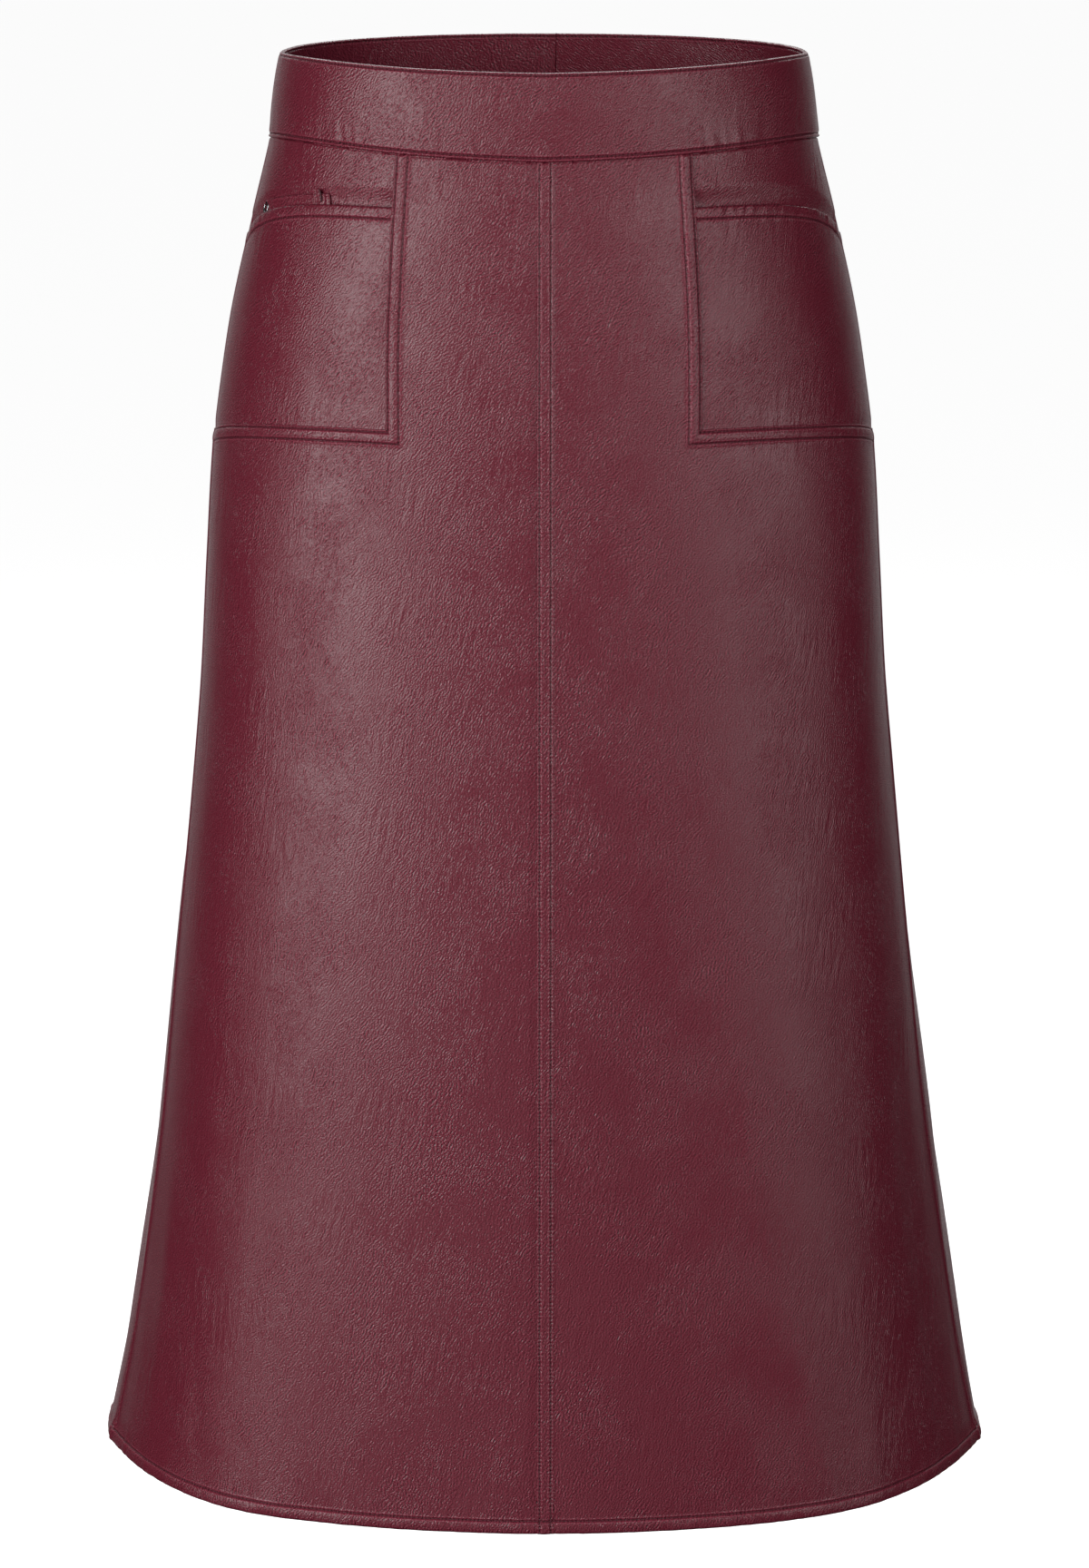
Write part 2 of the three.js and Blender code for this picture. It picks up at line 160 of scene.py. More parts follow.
ANGLE_STEP, HEIGHT_STEP, HEIGHT_TOP = 0.5, 5.0, 40.0
ANGLES = np.arange(0, 188, ANGLE_STEP)
HEIGHTS = np.arange(HEIGHT_TOP, -776, -HEIGHT_STEP)
RINGS = cloth(ANGLES[None, :], HEIGHTS[:, None])
GIRTHS = np.cumsum(np.linalg.norm(np.diff(RINGS, axis=1, prepend=RINGS[:, :1]), axis=2), axis=1)
DISTANCES = np.arange(0.0, 720.0)
TURNS = np.array([np.interp(DISTANCES, girth, ANGLES) for girth in GIRTHS])


def girth(angle, z):
    """Distance round the cloth from centre front."""
    return np.sign(angle) * in_table(GIRTHS, (HEIGHT_TOP - z) / HEIGHT_STEP, np.abs(angle) / ANGLE_STEP)


def angle_at(distance, z):
    """The angle at a distance round the cloth from centre front."""
    return np.sign(distance) * in_table(TURNS, (HEIGHT_TOP - z) / HEIGHT_STEP, np.abs(distance))


# The lines drawn on it. Those that run down give a distance round the cloth at a height, and those that
# run round give a height at an angle.

def band_wave(angle):
    """The waistband's lines rise between the centre front and the sides: 0.85 times the sine of twice the
    angle, less 0.22 times that of four times it. The back is level."""
    a = np.radians(np.abs(angle))
    return np.where(np.abs(angle) < 90, 0.85 * np.sin(2 * a) - 0.22 * np.sin(4 * a), 0)


def rim(angle):
    """Half the band's height, plus its wave."""
    return BAND / 2 + RIM_WAVE * band_wave(angle)


def waist_seam(angle):
    """Minus half the band's height, plus its wave."""
    return -BAND / 2 + SEAM_WAVE * band_wave(angle)


def side_seam(z):
    """Distance to the side seam, at the angle that its table gives."""
    return girth(smooth(SIDE_SEAM, "angle", z), z)


def pocket_edge(z):
    """Distance to the pocket's inner edge: its angle is linear in height, and constant below the foot."""
    z = np.maximum(z, FOOT - 3)
    return girth(POCKET_EDGE_TOP - POCKET_EDGE_SLOPE * (POCKET_EDGE_FROM - z), z)


def pocket_part(angle, z):
    """0 at the pocket's inner edge and 1 at the side seam."""
    inner = POCKET_EDGE_TOP - POCKET_EDGE_SLOPE * (POCKET_EDGE_FROM - z)
    return np.clip((angle - inner) / (smooth(SIDE_SEAM, "angle", z) - inner), 0, 1)


def pocket_mouth(angle):
    """The mouth's height, less a power of the part across."""
    return MOUTH - MOUTH_DROP * pocket_part(angle, MOUTH) ** MOUTH_CURVE


def pocket_foot(angle):
    """The foot's height, less the square of the part across."""
    return FOOT - FOOT_DROP * pocket_part(angle, FOOT) ** 2


def back_seam(side):
    """Distance to the centre back seam, which runs a little to the wearer's left near the waist."""
    def line(z):
        lean = BACK_SEAM_SHIFT * np.clip((z - BACK_SEAM_TRUE) / (BAND / 2 - BACK_SEAM_TRUE), 0, 1)
        return girth(np.full(np.shape(z), 180.0), z) - side * lean
    return line


# Grids

def stretch(stops, steps):
    """Places along a piece, each a position among its anchors and an offset in mm from there: a straight
    run of steps between each stop and the next."""
    at, off = [stops[0][0]], [stops[0][1]]
    for (a0, o0), (a1, o1), count in zip(stops, stops[1:], steps):
        t = np.arange(1, count + 1) / count
        at.extend(a0 + (a1 - a0) * t)
        off.extend(o0 + (o1 - o0) * t)
    return np.array(at), np.array(off)


def between(anchors, at, off):
    """The anchors interpolated at fractional positions, plus the offset."""
    i = np.clip(np.floor(at).astype(int), 0, len(anchors) - 2)
    i, t, off = np.broadcast_arrays(i, at - i, off)
    lines = np.stack(np.broadcast_arrays(*anchors))
    if lines.ndim == 1:
        lines = lines[:, None, None]
    lines = np.broadcast_to(lines, (len(anchors),) + i.shape)
    low = np.take_along_axis(lines, i[None], 0)[0]
    high = np.take_along_axis(lines, i[None] + 1, 0)[0]
    return low + (high - low) * t + off


def grid(column_anchors, columns, row_anchors, rows):
    """The distance round, the angle and the height where each column meets each row. Columns depend on
    height and rows on angle, so the two are worked out in turn until they agree."""
    shape = (len(rows[0]), len(columns[0]))
    ca, co = (np.broadcast_to(v[None, :], shape) for v in columns)
    ra, ro = (np.broadcast_to(v[:, None], shape) for v in rows)
    angle = np.full(shape, 45.0)
    for _ in range(6):
        z = between([line(angle) for line in row_anchors], ra, ro)
        distance = between([line(z) for line in column_anchors], ca, co)
        angle = angle_at(distance, z)
    return distance, angle, z


def fixed(z):
    """A level line."""
    return lambda angle: np.full(np.shape(angle), float(z))


# Relief, in mm out of the cloth

def ramp(x, start, end):
    """0 before start, 1 after end, smooth between."""
    t = np.clip((x - start) / (end - start), 0, 1)
    return t * t * (3 - 2 * t)


def groove(d, row):
    """The trough a row of stitches pulls in: minus a bell curve across the line."""
    width, depth = SINKS[row]
    return -depth * np.exp(-(d / width) ** 2)


def round_edge(d, radius):
    """A quarter round that falls away at an edge, d mm inside it."""
    t = np.clip(1 - d / radius, 0, 1)
    return -radius * (1 - np.sqrt(1 - t * t))


def puff(d, start, end, height):
    """Cloth that swells between two rows: a parabola from one to the other."""
    t = np.clip((d - start) / (end - start), 0, 1)
    return height * 4 * t * (1 - t)


def noise(u, v, cell_u, cell_v, seed):
    """Smooth noise from -1 to 1: random numbers on a lattice, joined by smooth steps both ways. The
    lattice repeats, and starts far enough off for every place to be above 0."""
    values = np.random.default_rng(seed).uniform(-1, 1, (256, 256))
    a, b = u / cell_u + 1000, v / cell_v + 1000
    i, j = np.floor(a).astype(int), np.floor(b).astype(int)
    fa, fb = a - i, b - j
    fa, fb = (f ** 3 * (f * (6 * f - 15) + 10) for f in (fa, fb))
    i0, i1, j0, j1 = i % 256, (i + 1) % 256, j % 256, (j + 1) % 256
    return ((values[i0, j0] * (1 - fa) + values[i1, j0] * fa) * (1 - fb)
            + (values[i0, j1] * (1 - fa) + values[i1, j1] * fa) * fb)


# Main creases: distance round from centre front, height, half length down the cloth, half width, height of
# the ridge (a trough is negative) and lean in mm round for each mm up
CREASES = {
    1: {
        "round":  [262, 284, 150, 318, 236, 301, 190, 118],
        "z":      [-330, -420, -700, -640, -600, -480, -735, -690],
        "length": [70, 90, 60, 110, 80, 120, 26, 40],
        "width":  [9, 7, 10, 8, 12, 6, 9, 13],
        "height": [0.7, -0.8, 0.5, 0.9, -0.7, 0.6, 0.5, -0.4],
        "lean":   [0.05, 0.1, -0.2, 0.05, -0.12, 0.1, 0.1, -0.3],
    },
    -1: {
        "round":  [268, 290, 322, 300, 205, 90, 246, 160],
        "z":      [-335, -400, -640, -560, -715, -700, -660, -610],
        "length": [60, 80, 90, 110, 40, 50, 70, 70],
        "width":  [7, 6, 9, 7, 8, 12, 10, 12],
        "height": [-0.7, 0.8, 0.8, -0.7, -0.6, 0.4, 0.6, -0.4],
        "lean":   [0.1, 0.08, 0.06, 0.05, 0.1, 0.35, -0.1, -0.2],
    },
}


def drape(side, distance, z):
    """How the worn leather stands off its smooth form: broad uneven swells, long thin ripples that grow
    towards the hem, and the creases above, each a bell curve across and along its line."""
    low = ramp(-z, 150, 700)
    hang = np.clip(-z / 757, 0, 1)
    lift = noise(distance, z, 60, 150, 3 + side) * (0.35 + 0.55 * hang)
    lift = lift + noise(distance + 0.12 * z, z, 17, 90, 7 + side) * (0.06 + 0.16 * low)
    table = CREASES[side]
    for r, at, length, width, height, lean in zip(*table.values()):
        across = distance - r - lean * (z - at)
        lift = lift + height * np.exp(-(across / width) ** 2 - ((z - at) / length) ** 2)
    return lift


def pucker(along, d, reach, height, seed, spacing=5.0):
    """Small gathers that a row of stitches draws up: noise along it that dies away from it."""
    return height * noise(along, d, spacing, 40, seed) * np.exp(-(d / reach) ** 2)


def lap_relief(d, along, seed, flatten=1.0):
    """Across a twin stitched lap, d mm in from its edge: a raised band with a rounded edge, swollen
    between its two sunk rows, which falls back to the cloth past them."""
    lift = LAP_RISE * (1 - ramp(d, LAP - 0.2, LAP + 2.6)) + round_edge(d, 0.6)
    lift = lift + puff(d, EDGE_STITCH, LAP, 0.85) + groove(d - EDGE_STITCH, "lap_edge")
    lift = lift + groove(d - LAP, "lap")
    return (lift + pucker(along, d - LAP, 5.0, 0.16, seed)) * flatten


# Meshes

def new_object(name, points, faces, material, layers=None):
    """A mesh object in metres, smooth shaded, from points in mm, with UV layers in metres too."""
    mesh = bpy.data.meshes.new(name)
    mesh.from_pydata((points * MM).astype(np.float32), [], faces)
    mesh.update()
    corner = np.zeros(len(mesh.loops), np.int32)
    mesh.loops.foreach_get("vertex_index", corner)
    for layer_name, uv in (layers or {}).items():
        layer = mesh.uv_layers.new(name=layer_name)
        layer.data.foreach_set("uv", (uv[corner] * MM).astype(np.float32).ravel())
    mesh.materials.append(material)
    mesh.polygons.foreach_set("use_smooth", np.ones(len(mesh.polygons), bool))
    piece = bpy.data.objects.new(name, mesh)
    bpy.context.scene.collection.objects.link(piece)
    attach(piece, "root")
    return piece


def shell(name, side, surface, lift, inner, sewing_and_shade, keep=None, coarse=3):
    """A closed leather wall over a grid. The outer face is the cloth's point plus lift along its normal,
    and the inner face the same with inner, on every few rows and columns, as coarse says. Gives the
    piece, and the points and normals of its outer face."""
    distance, angle, z = surface
    rows, columns = z.shape
    if keep is None:
        keep = np.ones((rows - 1, columns - 1), bool)
    hand = np.array([side, 1, 1])
    point, normal = cloth(angle, z) * hand, cloth_normal(angle, z) * hand
    out = point + normal * lift[..., None]
    few = (slice(None, None, coarse), slice(None, None, coarse))
    into = (point + normal * inner[..., None])[few]
    layers = {"cloth": np.stack([side * distance, z], axis=-1), "sewing_and_shade": np.stack(sewing_and_shade, axis=-1)}
    points = np.concatenate([out.reshape(-1, 3), into.reshape(-1, 3)])
    layers = {k: np.concatenate([v.reshape(-1, 2), v[few].reshape(-1, 2)]) for k, v in layers.items()}
    outer = np.arange(rows * columns).reshape(rows, columns)
    facing = rows * columns + np.arange(into.shape[0] * into.shape[1]).reshape(into.shape[:2])
    r = np.minimum((np.arange(rows) + coarse // 2) // coarse, into.shape[0] - 1)
    c = np.minimum((np.arange(columns) + coarse // 2) // coarse, into.shape[1] - 1)
    below = facing[r[:, None], c[None, :]]
    corners = ((0, 0), (1, 0), (1, 1), (0, 1))
    walls = []
    for ids, kept, turn in ((outer, keep, 1), (facing, keep[few], -1)):
        i, j = np.nonzero(kept)
        walls.append(np.stack([ids[i + p, j + q] for p, q in corners[::turn]], axis=1))
    framed = np.pad(keep, 1)
    mid = framed[1:-1, 1:-1]
    rims = []
    for bare, (r0, c0), (r1, c1) in (
        (~framed[:-2, 1:-1], (0, 0), (0, 1)),
        (~framed[1:-1, 2:], (0, 1), (1, 1)),
        (~framed[2:, 1:-1], (1, 1), (1, 0)),
        (~framed[1:-1, :-2], (1, 0), (0, 0)),
    ):
        i, j = np.nonzero(mid & bare)
        rims.append(np.stack([outer[i + r0, j + c0], outer[i + r1, j + c1],
                              below[i + r1, j + c1], below[i + r0, j + c0]], axis=1))
    quads = np.concatenate(walls + rims)
    if side < 0:
        quads = quads[:, ::-1]
    used, new = np.unique(quads, return_inverse=True)
    # Where two rim points share one inner point, the rim's face is a triangle
    faces = [list(dict.fromkeys(face)) for face in new.reshape(-1, 4).tolist()]
    layers = {k: v[used] for k, v in layers.items()}
    return new_object(name, points[used], faces, leather, layers), out, normal


# Materials

def linear(hex_colour):
    """An sRGB hex colour as linear red, green, blue and alpha."""
    value = np.array([int(hex_colour[i:i + 2], 16) for i in (1, 3, 5)]) / 255
    value = np.where(value <= 0.04045, value / 12.92, ((value + 0.055) / 1.055) ** 2.4)
    return (*value.tolist(), 1.0)


def add(tree, kind, links=None, **settings):
    """Adds a node, with its settings by name, inputs by index or name, and links to its inputs."""
    node = tree.nodes.new(kind)
    for key, value in settings.items():
        if key == "inputs":
            for name, number in value.items():
                node.inputs[name].default_value = number
        else:
            setattr(node, key, value)
    for name, source in (links or {}).items():
        tree.links.new(source, node.inputs[name])
    return node


def math_node(tree, operation, *values):
    """One arithmetic node on numbers or outputs."""
    links = {i: v for i, v in enumerate(values) if not isinstance(v, (int, float))}
    numbers = {i: v for i, v in enumerate(values) if isinstance(v, (int, float))}
    return add(tree, "ShaderNodeMath", links, operation=operation, inputs=numbers).outputs[0]


def spread(tree, value, start, end, low=0.0, high=1.0):
    """Low up to start, high from end on, and a straight line between."""
    return add(tree, "ShaderNodeMapRange", {"Value": value},
               inputs={"From Min": start, "From Max": end, "To Min": low, "To Max": high}).outputs[0]


def clouds(tree, place, cell, detail=0.0, roughness=0.5):
    """Smooth noise from 0 to 1 over the cloth, in cells this many mm wide."""
    return add(tree, "ShaderNodeTexNoise", {"Vector": place}, noise_dimensions="2D",
               inputs={"Scale": 1 / (cell * MM), "Detail": detail, "Roughness": roughness}).outputs["Fac"]


def dyed(tree, amount, tone, colour):
    """The tone, mixed towards a colour by an amount from 0 to 1."""
    return add(tree, "ShaderNodeMix", {"Factor": amount, 6: tone}, data_type="RGBA",
               inputs={7: linear(colour)}).outputs[2]


def pressed(tree, height, depth, normal=None):
    """The normal, bent by a height in units of depth mm."""
    links = {"Height": height, "Normal": normal} if normal else {"Height": height}
    return add(tree, "ShaderNodeBump", links, inputs={"Strength": 1.0, "Distance": depth * MM}).outputs[0]


# The grain: strokes this many mm apart, a few to each spot of them, at angles that turn between two heights
GRAIN, GRAIN_WAVES = 1.6, 1.4
PEBBLE = 0.9
LEAN_FROM, LEAN_TO = (-100, 135), (-300, 158)


def grain_height(tree, place, bent, fine, depth):
    """The grain's height about 0, below it in the valleys and above it on the tops: strokes, less 0.3 of
    the pebbles among them, plus 0.3 of the fine noise, less 0.5, all times the depth. Finer grain
    wouldn't show, so it is drawn this coarse."""
    # The strokes rise to the right, at 45 degrees by the pockets and steeper below
    height = add(tree, "ShaderNodeSeparateXYZ", {0: place}).outputs[1]
    lean = spread(tree, height, LEAN_FROM[0] * MM, LEAN_TO[0] * MM,
                  math.radians(LEAN_FROM[1]), math.radians(LEAN_TO[1]))
    strokes = add(tree, "ShaderNodeTexGabor", {"Vector": bent, "Orientation": lean}, gabor_type="2D",
                  inputs={"Scale": 1 / (GRAIN * GRAIN_WAVES * MM), "Frequency": GRAIN_WAVES,
                          "Anisotropy": 0.7}).outputs["Value"]
    pebble = add(tree, "ShaderNodeTexVoronoi", {"Vector": bent}, voronoi_dimensions="2D",
                 feature="SMOOTH_F1", inputs={"Scale": 1 / (PEBBLE * MM), "Smoothness": 0.2,
                                              "Randomness": 0.8}).outputs[0]
    grain = math_node(tree, "MULTIPLY_ADD", fine, 0.3, strokes)
    grain = math_node(tree, "MULTIPLY_ADD", pebble, -0.3, grain)
    return math_node(tree, "MULTIPLY", math_node(tree, "ADD", grain, -0.5), depth)


def wrinkle_height(tree, bent):
    """Faint steep wrinkles in patches, about 4 mm across and 20 mm long: noise drawn out along 80 degrees,
    less 0.5, times the patches."""
    drawn = add(tree, "ShaderNodeMapping", {"Vector": bent}, vector_type="TEXTURE",
                inputs={"Rotation": (0, 0, math.radians(80)), "Scale": (5.0, 1.0, 1.0)}).outputs[0]
    soft = clouds(tree, drawn, 4, 2.0, 0.55)
    crushed = spread(tree, clouds(tree, bent, 45, 1.0), 0.42, 0.68, 0.1, 1.0)
    return math_node(tree, "MULTIPLY", math_node(tree, "ADD", soft, -0.5), crushed)


def bell(tree, distance, middle, width):
    """A bell curve of a distance in metres, with its middle and width in mm."""
    across = math_node(tree, "MULTIPLY_ADD", distance, 1 / (width * MM), -middle / width)
    return math_node(tree, "EXPONENT",
                     math_node(tree, "MULTIPLY", -1.0, math_node(tree, "POWER", across, 2.0)))


def sewn(tree):
    """Every stitch pulls the leather in, deepest at its needle holes, and draws up a lip on both sides.
    u runs along the row, v is the distance from it, and the beat is a cosine, 1 at each hole and 0 between.
    Gives the lips, which also carry a painted highlight, the height of both together, and the painted shade
    of the holes and the thread's bed."""
    place = add(tree, "ShaderNodeUVMap", uv_map="sewing_and_shade").outputs[0]
    row = add(tree, "ShaderNodeSeparateXYZ", {0: place})
    beat = math_node(tree, "COSINE", math_node(tree, "MULTIPLY", row.outputs[0], 2 * math.pi / (STITCH * MM)))
    beat = math_node(tree, "MULTIPLY_ADD", beat, 0.5, 0.5)
    bed, lip = bell(tree, row.outputs[1], 0.0, 0.35), bell(tree, row.outputs[1], 1.0, 0.45)
    lip = math_node(tree, "MULTIPLY", lip, math_node(tree, "MULTIPLY_ADD", beat, -0.6, 0.9))
    sunk = math_node(tree, "MULTIPLY", bed, math_node(tree, "MULTIPLY_ADD", beat, 0.5, 0.5))
    dark = math_node(tree, "MULTIPLY", bed, math_node(tree, "MULTIPLY_ADD", beat, 0.65, 0.15))
    return lip, math_node(tree, "SUBTRACT", lip, sunk), dark


def nappa(name, colour, shade):
    """Coated nappa leather: burgundy all through, with a satin film pressed with a fine slanting grain.
    To the eye it is a deep red with broad soft lights, broken up by short pebbled wrinkles."""
    material = bpy.data.materials.new(name)
    material.use_nodes = True
    tree = material.node_tree
    bsdf = tree.nodes["Principled BSDF"]
    place = add(tree, "ShaderNodeUVMap", uv_map="cloth").outputs[0]
    warp = add(tree, "ShaderNodeTexNoise", {"Vector": place}, inputs={"Scale": 1 / (60 * MM), "Detail": 1.0})
    bend = add(tree, "ShaderNodeVectorMath", {0: warp.outputs["Color"]}, operation="SCALE",
               inputs={"Scale": 10 * MM})
    bent = add(tree, "ShaderNodeVectorMath", {0: place, 1: bend.outputs[0]}, operation="ADD").outputs[0]
    # The leather is stretched smooth in patches a few centimetres across
    fine, patch = clouds(tree, place, 0.5), clouds(tree, place, 38, 2.0)
    grain = grain_height(tree, place, bent, fine, spread(tree, patch, 0.35, 0.65, 0.7, 1.2))
    lip, pull, dark = sewn(tree)
    normal = pressed(tree, wrinkle_height(tree, bent), 0.6)
    normal = pressed(tree, pull, 0.3, normal)
    normal = pressed(tree, grain, 0.36, normal)
    tone = add(tree, "ShaderNodeMix", {"Factor": patch}, data_type="RGBA",
               inputs={6: linear(colour), 7: linear(shade)}).outputs[2]
    # The grain's valleys are painted darker as painted shade, and its tops paler as painted highlight
    tone = dyed(tree, spread(tree, grain, -0.4, 0.0, 1.0, 0.0), tone, "#380f19")
    tone = dyed(tree, spread(tree, grain, 0.0, 0.4), tone, "#9a4354")
    # Painted highlight: the lips beside each row of stitches are painted paler. Painted shade: the needle
    # holes and the thread's bed are painted dark
    tone = dyed(tree, math_node(tree, "MULTIPLY", lip, 0.7), tone, "#9a4354")
    tone = dyed(tree, dark, tone, "#20070c")
    tree.links.new(tone, bsdf.inputs["Base Color"])
    tree.links.new(spread(tree, fine, 0.3, 0.7, 0.23, 0.32), bsdf.inputs["Roughness"])
    tree.links.new(normal, bsdf.inputs["Normal"])
    bsdf.inputs["IOR"].default_value = 1.5
    return material


def plain_finish(name, colour, roughness, metallic=0.0):
    """One colour with a slight unevenness in its gloss, for thread and metal."""
    material = bpy.data.materials.new(name)
    material.use_nodes = True
    tree = material.node_tree
    bsdf = tree.nodes["Principled BSDF"]
    place = add(tree, "ShaderNodeTexCoord").outputs["Object"]
    uneven = add(tree, "ShaderNodeTexNoise", {"Vector": place},
                 inputs={"Scale": 1 / (1.5 * MM), "Detail": 2.0}).outputs["Fac"]
    rough = spread(tree, uneven, 0.0, 1.0, roughness - 0.08, roughness + 0.08)
    tree.links.new(rough, bsdf.inputs["Roughness"])
    bsdf.inputs["Base Color"].default_value = linear(colour)
    bsdf.inputs["Metallic"].default_value = metallic
    return material


leather = nappa("burgundy_nappa", "#6f2433", "#6a2130")
thread = plain_finish("polyester_topstitch_thread", "#5c2430", 0.5)
steel = plain_finish("polished_steel_eyelet", "#a4a4a6", 0.25, 1.0)


# The leather pieces. Each notes its rows of stitches as it is made, and the thread is laid in them after.

WORD = {1: "left", -1: "right"}
ROWS = {"centre": [], "pocket": [], "hem": [], "waist": []}


def sew(group, made, at, along):
    """Notes a row of stitches that runs along one line of a piece's outer face."""
    _, out, normal = made
    ROWS[group].append((out[at], normal[at], along[at]))


def nearest_row(*rows):
    """Distance along and away from the nearest of some rows of stitches."""
    along, away = (np.stack(np.broadcast_arrays(*values)) for values in zip(*rows))
    away = np.abs(away)
    best = np.argmin(away, axis=0)[None]
    return np.take_along_axis(along, best, 0)[0], np.take_along_axis(away, best, 0)[0]


def declare(piece, node):
    """Hides the CAD solid that a leather piece stands for. The piece argument is not used."""
    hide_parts(node)


def side_ridge(d):
    """At the side seam the front piece stands up in a narrow ridge, d mm in from the seam."""
    return 0.7 * np.exp(-((d - 2.2) / 1.5) ** 2) + round_edge(d, 1.6)


def hem_relief(d, along, from_side, seed):
    """The turned hem, d mm up from its edge: swollen, with a sunk row of stitches above it. The thick
    side seam makes its corners bulge."""
    lift = LAP_RISE * (1 - ramp(d, HEM_TURN - 0.3, HEM_TURN + 2.2)) + puff(d, 0.0, HEM_TURN, 0.5)
    lift = lift + groove(d - HEM_TURN, "hem") + round_edge(d, 1.5)
    lift = lift + pucker(along, d - HEM_TURN, 6.0, 0.28, seed)
    lift = lift + 1.4 * np.exp(-(from_side / 14) ** 2) * (1 - ramp(d, HEM_TURN, HEM_TURN + 5))
    return lift + 0.3 * noise(along, d, 3.0, 9, seed + 5) * np.clip(1.2 - d / HEM_TURN, 0, 1)


def front_panel(side):
    """The big L-shaped front piece: columns from the centre front to the side seam, rows from the waist
    to the hem, without the corner that its pocket fills."""
    start = -CENTRE_LAP if side > 0 else -CENTRE_LAP + 1.0
    across, down = [3, 12, 6, 24, 6, 12, 3, 108, 12], [6, 48, 3, 12, 6, 210, 6, 15]
    columns = stretch([(0, 0), (0, CENTRE_ROWS[0]), (0, CENTRE_ROWS[1]), (0, 11), (1, -LAP - 4), (1, -LAP),
                       (1, -EDGE_STITCH), (1, 0), (2, -7), (2, 0)], across)
    rows = stretch([(0, 0), (0, -5), (1, 0), (1, -EDGE_STITCH), (1, -LAP), (1, -LAP - 4),
                    (2, HEM_TURN + 4), (2, HEM_TURN), (2, 0)], down)
    # The columns and rows of the grid that the rows of stitches and the pocket's corner lie on
    first, second, _, _, outer_row, edge_row, corner = np.cumsum(across)[:7]
    _, foot, foot_edge_row, foot_outer_row, _, _, hem_row = np.cumsum(down)[:7]
    surface = grid([lambda z: np.full(np.shape(z), start), pocket_edge, side_seam], columns,
                   [waist_seam, pocket_foot, fixed(HEM)], rows)
    distance, angle, z = surface
    keep = np.ones((z.shape[0] - 1, z.shape[1] - 1), bool)
    keep[:foot, corner:] = False
    swell = drape(side, distance, z)
    across, down = pocket_edge(z) - distance, pocket_foot(angle) - z
    beside = across > down
    from_pocket, along = np.maximum(across, down), np.where(beside, z, distance)
    from_side = side_seam(z) - distance
    flatten = 0.25 + 0.75 * ramp(from_side, 0, 22)
    lift = swell + lap_relief(np.maximum(from_pocket, 0), along, 21 + side, flatten)
    inner = swell - LEATHER + 0.85 * (1 - ramp(from_pocket, LAP, LAP + 3))
    from_hem = z - HEM
    stitched = [(along, from_pocket - EDGE_STITCH), (along, from_pocket - LAP),
                (distance, from_hem - HEM_TURN)]
    if side > 0:
        d = distance - start
        by_edge, by_panel = (d - row for row in CENTRE_ROWS)
        lapped = 1 - ramp(d, 7.0, 9.6)
        lift = lift + 0.8 * lapped + groove(by_edge, "centre") + groove(by_panel, "centre")
        lift = lift + round_edge(d, 0.9) + pucker(z, by_panel, 6, 0.14, 31) + pucker(z, by_edge, 3, 0.1, 33)
        inner = inner + 0.7 * lapped
        stitched += [(z, by_edge), (z, by_panel)]
    else:
        covered = 1 - ramp(distance, CENTRE_LAP + 0.5, CENTRE_LAP + 5)
        lift, inner = lift - UNDER * covered, inner - UNDER * covered
        lift = lift + pucker(z, distance - CENTRE_LAP, 6, 0.12, 35)
    lift = lift + side_ridge(from_side) * ramp(-z, 166, 190)
    lift = lift + hem_relief(from_hem, side * distance, from_side, 41)
    from_waist = waist_seam(angle) - z
    lift = lift + round_edge(from_waist, 1.2) + pucker(side * distance, from_waist, 8, 0.25, 51)
    inner = inner - LEATHER * (1 - ramp(from_hem, HEM_TURN, HEM_TURN + 2)) * 0.9
    made = shell(f"front_panel_{WORD[side]}", side, surface, lift, inner, nearest_row(*stitched), keep)
    declare(made[0], f"front_panel_{WORD[side]}")
    for line, low in ((edge_row, foot_edge_row), (outer_row, foot_outer_row)):
        sew("pocket", made, (slice(0, low + 1), line), z)
        sew("pocket", made, (low, slice(line, None)), distance)
    sew("hem", made, (hem_row, slice(None)), distance)
    if side > 0:
        sew("centre", made, (slice(None), first), z)
        sew("centre", made, (slice(None), second), z)


def pocket_front(side):
    """The pocket's front, from beneath the lap to the side seam, its mouth turned and stitched."""
    columns = stretch([(0, -UNDERLAP), (0, 3), (1, -7), (1, 0)], [12, 90, 9])
    rows = stretch([(0, 0), (0, -MOUTH_TURN), (0, -10), (1, 3), (1, -UNDERLAP)], [15, 6, 51, 9])
    surface = grid([pocket_edge, side_seam], columns, [pocket_mouth, pocket_foot], rows)
    distance, angle, z = surface
    swell = drape(side, distance, z)
    inside = np.minimum(distance - pocket_edge(z), z - pocket_foot(angle))
    low = -UNDER * (1 - ramp(inside, 0.3, 6))
    d = pocket_mouth(angle) - z
    mouth = 0.55 * (1 - ramp(d, MOUTH_TURN - 0.3, MOUTH_TURN + 2)) + puff(d, 0, MOUTH_TURN, 0.45)
    mouth = mouth + groove(d - MOUTH_TURN, "mouth") + round_edge(d, 1.1)
    crimp = 0.2 + 0.3 * ramp(distance, 60, 110) if side > 0 else 0.15
    mouth = mouth + crimp * noise(distance + 0.2 * d, d, 3.2, 14, 61) * np.clip(1.4 - d / MOUTH_TURN, 0, 1)
    mouth = mouth * ramp(inside, -4, 0.5)
    from_side = side_seam(z) - distance
    mouth = (mouth + pucker(distance, d - MOUTH_TURN, 7, 0.2, 63)) * (0.2 + 0.8 * ramp(from_side, 0, 22))
    lift = swell + low + mouth + side_ridge(from_side) * 0.6
    stitched = (distance, np.where(inside > 0, d - MOUTH_TURN, 9))
    made = shell(f"pocket_front_{WORD[side]}", side, surface, lift, swell - LEATHER + low,
                 nearest_row(stitched))
    declare(made[0], f"pocket_front_{WORD[side]}")
    # The mouth's stitches are on the grid's row 15, from 1 mm past the pocket's inner edge
    sew("pocket", made, (15, slice(9, None)), distance)


